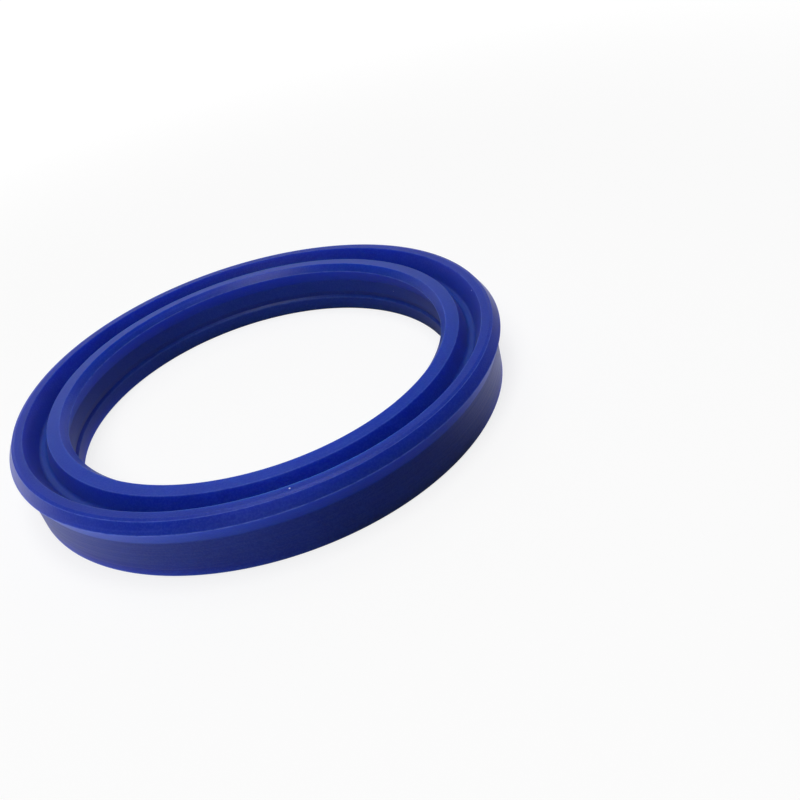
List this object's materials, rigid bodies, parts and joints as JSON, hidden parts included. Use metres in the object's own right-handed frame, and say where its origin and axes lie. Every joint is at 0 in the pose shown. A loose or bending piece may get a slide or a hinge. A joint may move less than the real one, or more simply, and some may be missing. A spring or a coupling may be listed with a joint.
{
  "type": "u cup seal",
  "caption": "One-piece polyurethane U cup seal: a ring with a flat heel and a flared lip on each side of a V groove, for sealing a sliding hydraulic rod in its housing.",
  "frame": {"origin": "centre of the heel face, on the surface that the ring lies on", "axes": "+Z along the ring's axis, from the heel face towards the lips; X and Y across the ring"},
  "size_m": [0.08, 0.08, 0.01],
  "materials": {
    "polyurethane": "smooth moulded polyurethane, soft satin sheen"
  },
  "bodies": {
    "root": {"u_cup_seal": "polyurethane"}
  },
  "joints": []
}
